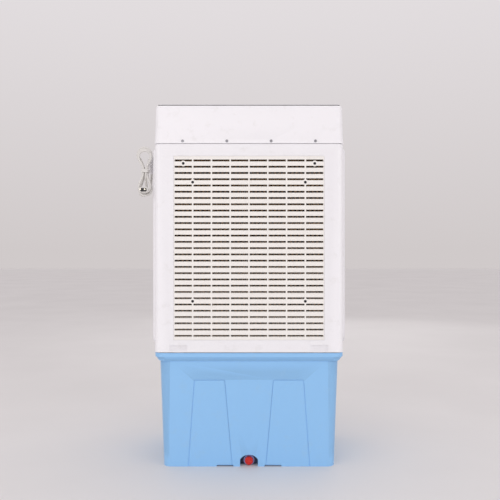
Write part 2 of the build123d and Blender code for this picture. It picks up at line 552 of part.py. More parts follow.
with BuildPart() as intake_grille:
    height_span = (GRILLE_MIDDLE - GRILLE_HEIGHT / 2, GRILLE_MIDDLE + GRILLE_HEIGHT / 2)
    slab((-GRILLE_WIDTH / 2, GRILLE_WIDTH / 2), (GRILLE_FRONT_Y, GRILLE_BACK_Y), height_span)
    slab(
        (-GRILLE_WIDTH / 2 - GRILLE_LAP, GRILLE_WIDTH / 2 + GRILLE_LAP),
        (GRILLE_SEAT_Y, GRILLE_BACK_Y),
        (height_span[0] - GRILLE_LAP, height_span[1] + GRILLE_LAP),
    )
    # sloping louvre slots between upright ribs
    slope = (0, -cos(radians(SLOT_SLOPE)), -sin(radians(SLOT_SLOPE)))
    with BuildSketch(Plane.XZ.offset(-GRILLE_BACK_Y - 2)) as slots:
        with Locations((0, GRILLE_MIDDLE + 6 * tan(radians(SLOT_SLOPE)))):
            with GridLocations(BAY_PITCH, SLOT_PITCH, SLOT_BAYS, SLOT_ROWS):
                Rectangle(BAY_PITCH - RIB_WIDTH, SLOT_GAP)
    extrude(slots.sketch, amount=16, dir=slope, mode=Mode.SUBTRACT)
    for x, z in SCREW_SPOTS:
        rod((x, (GRILLE_FRONT_Y + GRILLE_BACK_Y) / 2, z), "Y", BOSS_RADIUS, GRILLE_BACK_Y - GRILLE_FRONT_Y)
        rod((x, GRILLE_BACK_Y, z), "Y", SCREW_SHANK + 0.2, 40, Mode.SUBTRACT)
        rod((x, GRILLE_FRONT_Y, z), "Y", SCREW_HEAD + 0.2, 4, Mode.SUBTRACT)
save(intake_grille, "intake_grille")

BAR_HALF = 6.0
with BuildPart() as pad_frame:
    outside = PAD_HALF + 1 + WALL
    slab((-outside, outside), (GRILLE_BACK_Y, PAD_BACK_Y), (PAD_LOW - 1 - WALL, PAD_HIGH + 1 + WALL))
    slab(
        (-PAD_HALF - 1, PAD_HALF + 1),
        (GRILLE_BACK_Y - 1, PAD_BACK_Y + 1),
        (PAD_LOW - 1, PAD_HIGH + 1),
        Mode.SUBTRACT,
    )
    # cross bars behind the blades that the grille screws bite into
    for row in (0, 3, 22):
        z = between_rows(row)
        slab((-outside, outside), (GRILLE_BACK_Y, PAD_FRONT_Y - 0.5), (z - BAR_HALF, z + BAR_HALF))
    # drain holes under the pad, and drip holes over it
    for column_index in range(-5, 6):
        x = column_index * 40.0
        rod((x, (PAD_FRONT_Y + PAD_BACK_Y) / 2, PAD_LOW), "Z", 5, 14, Mode.SUBTRACT)
        rod((x, (PAD_FRONT_Y + PAD_BACK_Y) / 2, PAD_HIGH), "Z", 5, 14, Mode.SUBTRACT)
    for x, z in SCREW_SPOTS:
        rod((x, GRILLE_BACK_Y, z), "Y", SCREW_SHANK, 2 * (PAD_FRAME_WALL + 1), Mode.SUBTRACT)
save(pad_frame, "pad_frame")

with BuildPart() as cooling_pad:
    slab((-PAD_HALF, PAD_HALF), (PAD_FRONT_Y, PAD_BACK_Y), (PAD_LOW, PAD_HIGH))
save(cooling_pad, "cooling_pad")

with BuildPart() as grille_screws:
    for x, z in SCREW_SPOTS:
        head_y = GRILLE_FRONT_Y + 2.0
        rod((x, head_y - 1.2, z), "Y", SCREW_HEAD, 2.4)
        rod((x, (head_y + PAD_FRONT_Y - 1) / 2, z), "Y", SCREW_SHANK, PAD_FRONT_Y - 1 - head_y)
        for turn in (0, 90):
            with Locations((x, head_y - 2.4, z)):
                Box(4.6, 1.6, 1.0, rotation=(0, turn + 45, 0), mode=Mode.SUBTRACT)
save(grille_screws, "grille_screws")

LATCH_PLATE = (GRILLE_SEAT_Y + SLIDE_FIT, GRILLE_SEAT_Y + SLIDE_FIT + 2.5)
LATCH_TOP = GRILLE_LOW + 2 - GRILLE_LAP - LATCH_TRAVEL - 0.7
LATCH_GROOVE = 1.0


def latch(side, name):
    """One finger latch: a grooved plate behind its window, with a tongue in front of its stop."""
    x = side * LATCH_X
    with BuildPart() as piece:
        lap = LATCH_WIDTH / 2 + 4
        slab((x - lap, x + lap), LATCH_PLATE, (LATCH_LOW, LATCH_TOP))
        tongue = (x - TONGUE_HALF, x + TONGUE_HALF)
        slab(tongue, (LATCH_PLATE[0], TONGUE_Y[1]), (LATCH_LOW, LATCH_LOW + 6))
        slab(tongue, TONGUE_Y, (TONGUE_TIP, LATCH_LOW + 6))
        grip = (x - LATCH_WIDTH / 2 + 3, x + LATCH_WIDTH / 2 - 3)
        for groove in range(5):
            groove_z = LATCH_LOW + 1.8 + groove * 3.2
            groove_y = (LATCH_PLATE[0] - 1, LATCH_PLATE[0] + LATCH_GROOVE)
            slab(grip, groove_y, (groove_z, groove_z + 1.4), Mode.SUBTRACT)
    save(piece, name)


latch(-1, "left_latch")
latch(1, "right_latch")

# ---------------------------------------------------------------- water distributor
TROUGH_Y = INTAKE_BACK_Y + WALL
HOSE_TOP_Z = SEAM_Z - HEADER_THICKNESS - 8.0
HOSE_BEND = 20.0
with BuildPart() as water_trough:
    trough_top = SEAM_Z - HEADER_THICKNESS
    slab((-PAD_HALF - 20, PAD_HALF + 20), (TROUGH_Y, TROUGH_Y + 44), (TROUGH_LOW, trough_top))
    slab(
        (-PAD_HALF - 18, PAD_HALF + 18), (TROUGH_Y + 2, TROUGH_Y + 42), (TROUGH_LOW + 2, trough_top + 1),
        Mode.SUBTRACT,
    )
    for hole in range(-10, 11):
        rod((hole * 21.0, TROUGH_Y + 8, TROUGH_LOW), "Z", 1.6, 10, Mode.SUBTRACT)
    rod((PUMP_X, TROUGH_Y + 44, HOSE_TOP_Z), "Y", HOSE_RADIUS - 2, 20)
    rod((PUMP_X, TROUGH_Y + 44, HOSE_TOP_Z), "Y", HOSE_RADIUS - 4, 30, Mode.SUBTRACT)
save(water_trough, "water_trough")

with BuildPart() as riser_hose:
    hose_low = PUMP_LOW + PUMP_HEIGHT
    nozzle_y = TROUGH_Y + 44
    with BuildLine() as hose_path:
        FilletPolyline(
            (PUMP_X, PUMP_Y, hose_low),
            (PUMP_X, PUMP_Y, HOSE_TOP_Z),
            (PUMP_X, nozzle_y, HOSE_TOP_Z),
            radius=HOSE_BEND,
        )
    with BuildSketch(Plane(origin=hose_path.line @ 0, z_dir=hose_path.line % 0)) as hose_ring:
        Circle(HOSE_RADIUS)
        Circle(HOSE_BORE, mode=Mode.SUBTRACT)
    sweep(hose_ring.sketch, path=hose_path.line)
save(riser_hose, "riser_hose")
print("riser hose", round(sum(edge.length for edge in hose_path.edges())), "mm long, bend radius", HOSE_BEND)

# ---------------------------------------------------------------- fan
SHROUD_RADIUS = FAN_RADIUS + SHROUD_GAP
SHROUD_FRONT_Y = 88.0
SHROUD_BACK_Y = 22.0
HUB_Y = (38.0, 74.0)
HUB_RADIUS = 42.0
MOTOR_RADIUS = 58.0
MOTOR_Y = (-66.0, 14.0)
SHAFT_Y = (-74.0, 86.0)
ARM_COUNT = 4

with BuildPart() as fan_shroud:
    with BuildSketch(Plane.XZ.offset(-SHROUD_FRONT_Y)) as plate:
        with Locations((0, FAN_Z)):
            Rectangle(2 * SIDE_X - 2, 440)
            Circle(SHROUD_RADIUS, mode=Mode.SUBTRACT)
    extrude(plate.sketch, amount=WALL)
    with BuildSketch(Plane.XZ.offset(-SHROUD_FRONT_Y)) as ring:
        with Locations((0, FAN_Z)):
            Circle(SHROUD_RADIUS + WALL)
            Circle(SHROUD_RADIUS, mode=Mode.SUBTRACT)
    extrude(ring.sketch, amount=SHROUD_FRONT_Y - SHROUD_BACK_Y)
save(fan_shroud, "fan_shroud")

with BuildPart() as motor_bracket:
    rod((0, SHROUD_BACK_Y - 4, FAN_Z), "Y", MOTOR_RADIUS + 6, 8)
    with Locations((0, SHROUD_BACK_Y - 4, FAN_Z)):
        with Locations(Plane.XZ):
            with PolarLocations(0, ARM_COUNT, start_angle=45):
                with Locations((SHROUD_RADIUS / 2, 0, 0)):
                    Box(SHROUD_RADIUS + 2 * WALL, 14, 8)
    rod((0, SHROUD_BACK_Y - 4, FAN_Z), "Y", MOTOR_RADIUS - 12, 30, Mode.SUBTRACT)
save(motor_bracket, "motor_bracket")

with BuildPart() as fan_motor:
    rod((0, sum(MOTOR_Y) / 2, FAN_Z), "Y", MOTOR_RADIUS - 4, MOTOR_Y[1] - MOTOR_Y[0])
    fillet(fan_motor.edges().filter_by(GeomType.CIRCLE), radius=6)
    for fin in range(7):
        rod((0, MOTOR_Y[0] + 14 + fin * 8, FAN_Z), "Y", MOTOR_RADIUS, 4)
    rod((0, MOTOR_Y[1] + 4, FAN_Z), "Y", MOTOR_RADIUS - 14, 10)
    rod((0, 0, FAN_Z), "Y", SHAFT_RADIUS + RUN_FIT, 300, Mode.SUBTRACT)
save(fan_motor, "fan_motor")

with BuildPart() as fan_shaft:
    rod((0, sum(SHAFT_Y) / 2, FAN_Z), "Y", SHAFT_RADIUS, SHAFT_Y[1] - SHAFT_Y[0])
    chamfer(fan_shaft.edges().filter_by(GeomType.CIRCLE), length=0.8)
save(fan_shaft, "fan_shaft")

with BuildPart() as fan_impeller:
    rod((0, sum(HUB_Y) / 2, FAN_Z), "Y", HUB_RADIUS, HUB_Y[1] - HUB_Y[0])
    fillet(fan_impeller.edges().filter_by(GeomType.CIRCLE).sort_by(Axis.Y)[-1], radius=6)
    for index in range(FAN_BLADES):
        turn = index * 360 / FAN_BLADES
        # each blade lofts from a steep root section to a wide, flatter tip section
        sections = []
        stations = ((HUB_RADIUS - 6, 46, 48), (FAN_RADIUS * 0.6, 86, 30), (FAN_RADIUS - 2, 118, 20))
        for reach, chord, pitch in stations:
            out = Vector(cos(radians(turn)), 0, sin(radians(turn)))
            across = Vector(-sin(radians(turn)), 0, cos(radians(turn)))
            along = across * cos(radians(pitch)) + Vector(0, 1, 0) * sin(radians(pitch))
            at = Vector(0, sum(HUB_Y) / 2, FAN_Z) + out * reach
            with BuildSketch(Plane(origin=at, x_dir=along, z_dir=out)) as section:
                Rectangle(chord, 3.0)
            sections.append(section.sketch)
        loft(sections)
    rod((0, 0, FAN_Z), "Y", FAN_RADIUS, 300, Mode.INTERSECT)
    rod((0, 0, FAN_Z), "Y", SHAFT_RADIUS, 300, Mode.SUBTRACT)
save(fan_impeller, "fan_impeller")

with BuildPart() as shaft_nut:
    with BuildSketch(Plane.XZ.offset(-HUB_Y[1])) as hexagon:
        with Locations((0, FAN_Z)):
            RegularPolygon(11, 6)
            Circle(SHAFT_RADIUS, mode=Mode.SUBTRACT)
    extrude(hexagon.sketch, amount=-8)
save(shaft_nut, "shaft_nut")

# ---------------------------------------------------------------- front bezel and air outlet
OUTLET_HALF = OUTLET_WIDTH / 2
OUTLET_LOW = FAN_Z - OUTLET_HEIGHT / 2
OUTLET_HIGH = FAN_Z + OUTLET_HEIGHT / 2
DUCT_BACK_Y = SHROUD_FRONT_Y
STUB_RADIUS = 3.0
LOUVRE_PITCH = OUTLET_HEIGHT / LOUVRES
LOUVRE_CHORD = 48.0
LOUVRE_Y = DEPTH_HALF - LOUVRE_CHORD / 2 - 3.0
LOUVRE_THICKNESS = 3.0
VANE_PITCH = OUTLET_WIDTH / VANES
VANE_CHORD = 34.0
VANE_Y = DUCT_BACK_Y + VANE_CHORD / 2 + 3.0
VANE_THICKNESS = 2.5
LINK_PIN = 2.0
LINK_ARM = 18.0             # from a blade's pivot to its link pin
END_GAP = 1.0               # between a blade and the duct wall
SWING_MOTOR = (34.0, 34.0, 20.0)

with BuildPart() as front_bezel:
    with BuildSketch(Plane.XY.offset(TANK_HEIGHT)) as bezel_plan:
        with Locations((0, (DEPTH_HALF + BEZEL_BACK_Y) / 2)):
            Rectangle(BODY_WIDTH, BEZEL_DEPTH)
        fillet(bezel_plan.vertices().group_by(Axis.Y)[-1], radius=FRAME_CORNER)
    extrude(amount=HOUSING_HEIGHT)
    with BuildSketch(Plane.XY.offset(TANK_HEIGHT - 1)) as bezel_hollow:
        with Locations((0, (DEPTH_HALF - WALL + BEZEL_BACK_Y - 5) / 2)):
            Rectangle(BODY_WIDTH - 2 * WALL, BEZEL_DEPTH - WALL + 5)
        fillet(bezel_hollow.vertices().group_by(Axis.Y)[-1], radius=FRAME_CORNER - WALL)
    extrude(amount=HOUSING_HEIGHT + 2, mode=Mode.SUBTRACT)
    duct_z = (OUTLET_LOW - WALL, OUTLET_HIGH + WALL)
    slab((-OUTLET_HALF - WALL, OUTLET_HALF + WALL), (DUCT_BACK_Y, DEPTH_HALF - 1), duct_z)
    duct_y = (DUCT_BACK_Y - 1, DEPTH_HALF + 1)
    slab((-OUTLET_HALF, OUTLET_HALF), duct_y, (OUTLET_LOW, OUTLET_HIGH), Mode.SUBTRACT)
    # bearings of the louvres and vanes
    for index in range(LOUVRES):
        z = OUTLET_LOW + (index + 0.5) * LOUVRE_PITCH
        rod((0, LOUVRE_Y, z), "X", STUB_RADIUS + RUN_FIT, OUTLET_WIDTH + 4 * WALL, Mode.SUBTRACT)
    for index in range(VANES):
        x = -OUTLET_HALF + (index + 0.5) * VANE_PITCH
        rod((x, VANE_Y, FAN_Z), "Z", STUB_RADIUS + RUN_FIT, OUTLET_HEIGHT + 4 * WALL, Mode.SUBTRACT)
    # two shallow grooves across the plain lower front
    for z in (OUTLET_LOW - 62, OUTLET_LOW - 112):
        slab((-OUTLET_HALF, OUTLET_HALF), (DEPTH_HALF - 1.2, DEPTH_HALF + 1), (z, z + 4), Mode.SUBTRACT)
save(front_bezel, "front_bezel")


def louvre(index):
    """One horizontal louvre on two stub shafts, with a link pin across a notch in its rear edge."""
    z = OUTLET_LOW + (index + 0.5) * LOUVRE_PITCH
    half = OUTLET_HALF - END_GAP
    with BuildPart() as blade:
        with BuildSketch(Plane.YZ.offset(-half)) as profile:
            with Locations((LOUVRE_Y, z)):
                SlotOverall(LOUVRE_CHORD, LOUVRE_THICKNESS)
                Circle(STUB_RADIUS + 1.5)
        extrude(profile.sketch, amount=2 * half)
        rod((0, LOUVRE_Y, z), "X", STUB_RADIUS, OUTLET_WIDTH + 2 * WALL)
        slab((-6, 6), (LOUVRE_Y - LOUVRE_CHORD, LOUVRE_Y - LINK_ARM + 8), (z - 6, z + 6), Mode.SUBTRACT)
        rod((0, LOUVRE_Y - LINK_ARM, z), "X", LINK_PIN, 14)
    save(blade, f"louvre_{index + 1}")


for louvre_index in range(LOUVRES):
    louvre(louvre_index)

with BuildPart() as louvre_link:
    link_y = LOUVRE_Y - LINK_ARM
    first_z = OUTLET_LOW + LOUVRE_PITCH / 2
    last_z = OUTLET_HIGH - LOUVRE_PITCH / 2
    slab((-2.5, 2.5), (link_y - 4.5, link_y + 4.5), (first_z - 5, last_z + 5))
    for index in range(LOUVRES):
        rod((0, link_y, first_z + index * LOUVRE_PITCH), "X", LINK_PIN + PIN_FIT, 10, Mode.SUBTRACT)
save(louvre_link, "louvre_link")


def vane(index):
    """One upright vane behind the louvres, with its link pin in a notch at mid height."""
    x = -OUTLET_HALF + (index + 0.5) * VANE_PITCH
    low, high = OUTLET_LOW + END_GAP, OUTLET_HIGH - END_GAP
    with BuildPart() as blade:
        with BuildSketch(Plane.XY.offset(low)) as profile:
            with Locations((x, VANE_Y)):
                SlotOverall(VANE_CHORD, VANE_THICKNESS, rotation=90)
                Circle(STUB_RADIUS + 1)
        extrude(profile.sketch, amount=high - low)
        rod((x, VANE_Y, FAN_Z), "Z", STUB_RADIUS, OUTLET_HEIGHT + 2 * WALL)
        if index == 0:
            rod((x, VANE_Y, OUTLET_HIGH + WALL + 8), "Z", STUB_RADIUS, 20)
        notch_y = (VANE_Y - VANE_CHORD, VANE_Y - VANE_CHORD / 2 + 9)
        slab((x - 6, x + 6), notch_y, (FAN_Z - 6, FAN_Z + 6), Mode.SUBTRACT)
        rod((x, VANE_Y - VANE_CHORD / 2 + 3.2, FAN_Z), "Z", LINK_PIN, 14)
    save(blade, f"vane_{index + 1}")


for vane_index in range(VANES):
    vane(vane_index)

with BuildPart() as vane_link:
    link_y = VANE_Y - VANE_CHORD / 2 + 3.2
    first_x = -OUTLET_HALF + VANE_PITCH / 2
    slab((first_x - 4, -first_x + 4), (link_y - 3.5, link_y + 3.5), (FAN_Z - 2.5, FAN_Z + 2.5))
    for index in range(VANES):
        rod((first_x + index * VANE_PITCH, link_y, FAN_Z), "Z", LINK_PIN + PIN_FIT, 10, Mode.SUBTRACT)
save(vane_link, "vane_link")

with BuildPart() as swing_motor:
    motor_low = OUTLET_HIGH + WALL
    with BuildSketch(Plane.XY.offset(motor_low)) as motor_plan:
        with Locations((-OUTLET_HALF + VANE_PITCH / 2, VANE_Y)):
            RectangleRounded(SWING_MOTOR[0], SWING_MOTOR[1], 6)
    extrude(amount=SWING_MOTOR[2])
    stub_spot = (-OUTLET_HALF + VANE_PITCH / 2, VANE_Y, motor_low)
    rod(stub_spot, "Z", STUB_RADIUS + RUN_FIT, 2 * SWING_MOTOR[2] + 4, Mode.SUBTRACT)
save(swing_motor, "swing_motor")

# ---------------------------------------------------------------- top cover and controls
COVER_FLARE = 1.0           # each side of the cover stands past the rim at the seam
COVER_TAPER = 1.9
COVER_EDGE = 16.0
RECESS_HALF = 150.0
RECESS_LOW = SEAM_Z + 22.0
RECESS_HIGH = TOP_Z - 26.0
RECESS_DEPTH = 18.0
RECESS_Y = DEPTH_HALF - RECESS_DEPTH
KNOB_RADIUS = 19.0
KNOB_STEM = 3.0
KNOB_XS = {"speed": -100.0, "timer": -40.0}
BUTTON_XS = {"swing": 40.0, "pump": 90.0}
BUTTON_RADIUS = 10.0
BUTTON_TRAVEL = 2.5
CONTROL_Z = (RECESS_LOW + RECESS_HIGH) / 2

with BuildPart() as top_cover:
    column(BODY_WIDTH + 2 * COVER_FLARE, BODY_DEPTH, (SEAM_Z, TOP_Z), FRAME_CORNER, COVER_TAPER)
    fillet(top_cover.faces().sort_by(Axis.Z)[-1].edges(), radius=COVER_EDGE)
    column(
        BODY_WIDTH + 2 * COVER_FLARE - 2 * WALL,
        BODY_DEPTH - 2 * WALL,
        (SEAM_Z, TOP_Z - WALL),
        FRAME_CORNER - WALL,
        COVER_TAPER,
        Mode.SUBTRACT,
    )
    recess_z = (RECESS_LOW - WALL, RECESS_HIGH + WALL)
    slab((-RECESS_HALF - WALL, RECESS_HALF + WALL), (RECESS_Y, DEPTH_HALF - 6), recess_z)
    recess_y = (RECESS_Y - 1, DEPTH_HALF + 5)
    slab((-RECESS_HALF, RECESS_HALF), recess_y, (RECESS_LOW, RECESS_HIGH), Mode.SUBTRACT)
    for x in COVER_SCREW_XS:
        rod((x, -DEPTH_HALF, COVER_SCREW_Z), "Y", 2.0, 12, Mode.SUBTRACT)
        rod((x, -DEPTH_HALF, COVER_SCREW_Z), "Y", 4.6, 4.4, Mode.SUBTRACT)
save(top_cover, "top_cover")

with BuildPart() as cover_screws:
    for x in COVER_SCREW_XS:
        head_y = -DEPTH_HALF + 2.2
        rod((x, head_y - 0.9, COVER_SCREW_Z), "Y", 4.3, 1.8)
        rod((x, (head_y + RAIL_Y + 6) / 2, COVER_SCREW_Z), "Y", SCREW_SHANK, RAIL_Y + 6 - head_y)
        for turn in (0, 90):
            with Locations((x, head_y - 1.8, COVER_SCREW_Z)):
                Box(4.8, 1.4, 0.9, rotation=(0, turn, 0), mode=Mode.SUBTRACT)
save(cover_screws, "cover_screws")

with BuildPart() as control_panel:
    lap = RECESS_HALF + WALL
    slab((-lap, lap), (RECESS_Y - WALL, RECESS_Y), recess_z)
    for x in KNOB_XS.values():
        rod((x, RECESS_Y, CONTROL_Z), "Y", KNOB_STEM + 0.5, 20, Mode.SUBTRACT)
        # raised dial ring with tick marks
        rod((x, RECESS_Y + 0.4, CONTROL_Z), "Y", KNOB_RADIUS + 6, 0.8)
        rod((x, RECESS_Y + 0.4, CONTROL_Z), "Y", KNOB_RADIUS + 4, 2, Mode.SUBTRACT)
    for x in BUTTON_XS.values():
        rod((x, RECESS_Y, CONTROL_Z), "Y", BUTTON_RADIUS + 0.4, 20, Mode.SUBTRACT)
save(control_panel, "control_panel")

with BuildPart() as control_switches:
    # one moulded block behind the panel holds the two rotary switches and the two push switches
    block_y = (RECESS_Y - WALL - 30, RECESS_Y - WALL)
    slab((-lap + 20, lap - 30), block_y, (CONTROL_Z - 20, CONTROL_Z + 20))
    for x in KNOB_XS.values():
        rod((x, RECESS_Y, CONTROL_Z), "Y", KNOB_STEM + RUN_FIT, 50, Mode.SUBTRACT)
    for x in BUTTON_XS.values():
        rod((x, RECESS_Y, CONTROL_Z), "Y", BUTTON_RADIUS + 0.4, 2 * (WALL + 10), Mode.SUBTRACT)
save(control_switches, "control_switches")


def knob(name):
    """A rotary knob with its stem, a waisted grip and a pointer groove."""
    x = KNOB_XS[name]
    with BuildPart() as piece:
        rod((x, RECESS_Y + 1 + 4, CONTROL_Z), "Y", KNOB_RADIUS, 8)
        fillet(piece.edges().group_by(Axis.Y)[-1], radius=2)
        with Locations((x, RECESS_Y + 11, CONTROL_Z)):
            Box(11, 10, 2 * KNOB_RADIUS - 6)
        fillet(piece.faces().sort_by(Axis.Y)[-1].edges(), radius=2)
        pointer_z = (CONTROL_Z + 6, CONTROL_Z + KNOB_RADIUS)
        slab((x - 0.8, x + 0.8), (RECESS_Y + 15.2, RECESS_Y + 20), pointer_z, Mode.SUBTRACT)
        rod((x, RECESS_Y + 2 - 12, CONTROL_Z), "Y", KNOB_STEM, 24)
    save(piece, f"{name}_knob")


for knob_name in KNOB_XS:
    knob(knob_name)


def push_button(name):
    """A round push button in its guide."""
    x = BUTTON_XS[name]
    with BuildPart() as piece:
        rod((x, RECESS_Y - 0.5, CONTROL_Z), "Y", BUTTON_RADIUS, 13)
        fillet(piece.edges().group_by(Axis.Y)[-1], radius=1.5)
    save(piece, f"{name}_button")


for button_name in BUTTON_XS:
    push_button(button_name)

with BuildPart() as motor_capacitor:
    with BuildSketch(Plane.XY.offset(SEAM_Z + WALL)) as capacitor_plan:
        with Locations((120, -110)):
            RectangleRounded(52, 28, 4)
    extrude(amount=38)
    fillet(motor_capacitor.faces().sort_by(Axis.Z)[-1].edges(), radius=3)
    slab((88, 96), (-116, -104), (SEAM_Z + WALL, SEAM_Z + WALL + 3))
save(motor_capacitor, "motor_capacitor")

# ---------------------------------------------------------------- mains lead, hung up in a tied hank
CORD_DIAMETER = 7.0
HOOD_X = WIDTH_HALF + SIDE_BULGE
HOOD = (20.0, 22.0, 26.0)
CORD_X = -(HOOD_X + 10.0)
HOOD_LOW = CORD_EXIT_Z - HOOD[2] / 2
RELIEF_LENGTH = 24.0
RELIEF_TIP = HOOD_LOW - RELIEF_LENGTH
HANK_Y = (CORD_Y - 36.0, CORD_Y - 6.0)
HANK_X = -(HOOD_X + 24.0)
TIE_Z = SEAM_Z - 75.0
TIE_HALF = 5.0
WAIST_HALF = 9.0
HANK_TOP = SEAM_Z + 3.0
HANK_FOOT = SEAM_Z - 159.0

with BuildPart() as cord_gland:
    hood_y = (CORD_Y + 8 - HOOD[1] / 2, CORD_Y + 8 + HOOD[1] / 2)
    slab((-HOOD_X - HOOD[0], -HOOD_X), hood_y, (HOOD_LOW, HOOD_LOW + HOOD[2]))
    fillet(cord_gland.edges().filter_by(Axis.Y).sort_by(Axis.X)[:2], radius=5)
    rod((-HOOD_X + 4, CORD_Y, CORD_EXIT_Z), "X", GLAND_STEM, 8)
    with Locations((CORD_X, CORD_Y + 8, HOOD_LOW - RELIEF_LENGTH / 2)):
        Cone(CORD_DIAMETER / 2 + 0.8, CORD_DIAMETER / 2 + 3, RELIEF_LENGTH)
save(cord_gland, "cord_gland")

cord_y = CORD_Y + 8
CORD_ROUTE = [
    (CORD_X, cord_y, RELIEF_TIP),
    (CORD_X, cord_y, RELIEF_TIP - 20),
    (CORD_X - 3, cord_y - 3, RELIEF_TIP - 42),
    (CORD_X - 8, cord_y - 15, RELIEF_TIP - 60),
]


def bend_radii(route):
    """The largest tangent arc at each corner that takes 0.45 of its shorter run."""
    radii = []
    for before, corner, after in zip(route, route[1:], route[2:]):
        arriving = Vector(*corner) - Vector(*before)
        leaving = Vector(*after) - Vector(*corner)
        turn = radians(arriving.get_angle(leaving))
        radii.append(0.45 * min(arriving.length, leaving.length) / tan(turn / 2))
    return radii


with BuildPart() as power_cord:
    radii = bend_radii(CORD_ROUTE)
    with BuildLine() as cord_path:
        FilletPolyline(*CORD_ROUTE, radius=radii)
    with BuildSketch(Plane(origin=CORD_ROUTE[0], z_dir=(0, 0, -1))) as cord_section:
        Circle(CORD_DIAMETER / 2)
    sweep(cord_section.sketch, path=cord_path.line)
save(power_cord, "power_cord")
cord_run = sum(edge.length for edge in cord_path.edges())
print("cord bend radii", [round(radius) for radius in radii])
print("cord volume", round(power_cord.part.volume), "against", round(pi * CORD_DIAMETER ** 2 / 4 * cord_run))

with BuildPart() as cord_hank:
    with BuildSketch(Plane.XZ.offset(-HANK_Y[1])) as hank_outline:
        with BuildLine():
            Polyline(
                (HANK_X - WAIST_HALF, TIE_Z - TIE_HALF),
                (HANK_X - WAIST_HALF, TIE_Z + TIE_HALF),
                (HANK_X - 22, HANK_TOP - 22),
            )
            ThreePointArc((HANK_X - 22, HANK_TOP - 22), (HANK_X, HANK_TOP), (HANK_X + 22, HANK_TOP - 22))
            Polyline(
                (HANK_X + 22, HANK_TOP - 22),
                (HANK_X + WAIST_HALF, TIE_Z + TIE_HALF),
                (HANK_X + WAIST_HALF, TIE_Z - TIE_HALF),
                (HANK_X + 19, HANK_FOOT + 19),
            )
            ThreePointArc((HANK_X + 19, HANK_FOOT + 19), (HANK_X, HANK_FOOT), (HANK_X - 19, HANK_FOOT + 19))
            Line((HANK_X - 19, HANK_FOOT + 19), (HANK_X - WAIST_HALF, TIE_Z - TIE_HALF))
        make_face()
    extrude(hank_outline.sketch, amount=HANK_Y[1] - HANK_Y[0])
save(cord_hank, "cord_hank")

with BuildPart() as cord_tie:
    with BuildSketch(Plane.XY.offset(TIE_Z - TIE_HALF)) as tie_plan:
        with Locations((HANK_X, sum(HANK_Y) / 2)):
            RectangleRounded(2 * WAIST_HALF + 4, HANK_Y[1] - HANK_Y[0] + 4, 4)
            Rectangle(2 * WAIST_HALF, HANK_Y[1] - HANK_Y[0], mode=Mode.SUBTRACT)
    extrude(amount=2 * TIE_HALF)
save(cord_tie, "cord_tie")

PLUG_FACE = (26.0, 15.0)
PLUG_TAPER = 21.0           # from the neck at the hank to the shoulder
PLUG_SHOULDER = 15.0        # length of the plug's straight part
PLUG_X = HANK_X + 2.0
PLUG_Z = HANK_FOOT + 22.0
PLUG_FRONT_Y = HANK_Y[0] - PLUG_TAPER - PLUG_SHOULDER
PIN_RADIUS = 2.2
PIN_LENGTH = 19.0
with BuildPart() as plug_body:
    with BuildSketch(Plane.XZ.offset(-HANK_Y[0])) as plug_neck:
        with Locations((PLUG_X, PLUG_Z)):
            RectangleRounded(CORD_DIAMETER + 5, CORD_DIAMETER + 4, 4)
    with BuildSketch(Plane.XZ.offset(-HANK_Y[0] + PLUG_TAPER)) as plug_shoulder:
        with Locations((PLUG_X, PLUG_Z)):
            RectangleRounded(*PLUG_FACE, 5)
    loft([plug_neck.sketch, plug_shoulder.sketch])
    extrude(plug_shoulder.sketch, amount=PLUG_SHOULDER)
save(plug_body, "plug_body")

with BuildPart() as plug_pins:
    for side in (-1, 1):
        rod((PLUG_X + side * 6.5, PLUG_FRONT_Y - PIN_LENGTH / 2, PLUG_Z), "Y", PIN_RADIUS, PIN_LENGTH)
save(plug_pins, "plug_pins")
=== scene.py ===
"""Looks for the evaporative cooler: its materials, its honeycomb pad, its mains lead, and the studio."""
import json
from math import pi, radians, sin, tan

import bmesh
import bpy
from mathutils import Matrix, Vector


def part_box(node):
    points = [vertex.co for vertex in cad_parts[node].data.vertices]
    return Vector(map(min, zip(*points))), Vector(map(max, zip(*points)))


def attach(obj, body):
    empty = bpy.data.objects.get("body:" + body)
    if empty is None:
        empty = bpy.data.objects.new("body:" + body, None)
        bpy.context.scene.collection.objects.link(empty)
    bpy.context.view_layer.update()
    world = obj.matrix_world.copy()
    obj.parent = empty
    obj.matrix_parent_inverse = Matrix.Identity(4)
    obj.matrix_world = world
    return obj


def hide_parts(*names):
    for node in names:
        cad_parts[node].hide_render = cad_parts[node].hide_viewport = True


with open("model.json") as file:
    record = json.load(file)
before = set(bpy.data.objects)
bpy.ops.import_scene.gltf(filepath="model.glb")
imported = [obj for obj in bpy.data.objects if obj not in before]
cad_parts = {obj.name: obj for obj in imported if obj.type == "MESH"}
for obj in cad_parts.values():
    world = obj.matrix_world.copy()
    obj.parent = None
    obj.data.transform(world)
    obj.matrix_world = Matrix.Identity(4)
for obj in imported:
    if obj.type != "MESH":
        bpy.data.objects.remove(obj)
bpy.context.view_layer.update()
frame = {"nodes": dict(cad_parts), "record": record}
nodes = frame["nodes"]


# ------------------------------------------------------------------ materials
def rgb(red, green, blue):
    """A linear colour from display values of 0 to 255."""
    def linear(value):
        value /= 255
        return value / 12.92 if value <= 0.04045 else ((value + 0.055) / 1.055) ** 2.4
    return (linear(red), linear(green), linear(blue), 1.0)


def scaled(colour, factor):
    """The same colour, lighter or darker."""
    return tuple(min(1.0, part * factor) for part in colour[:3]) + (1.0,)


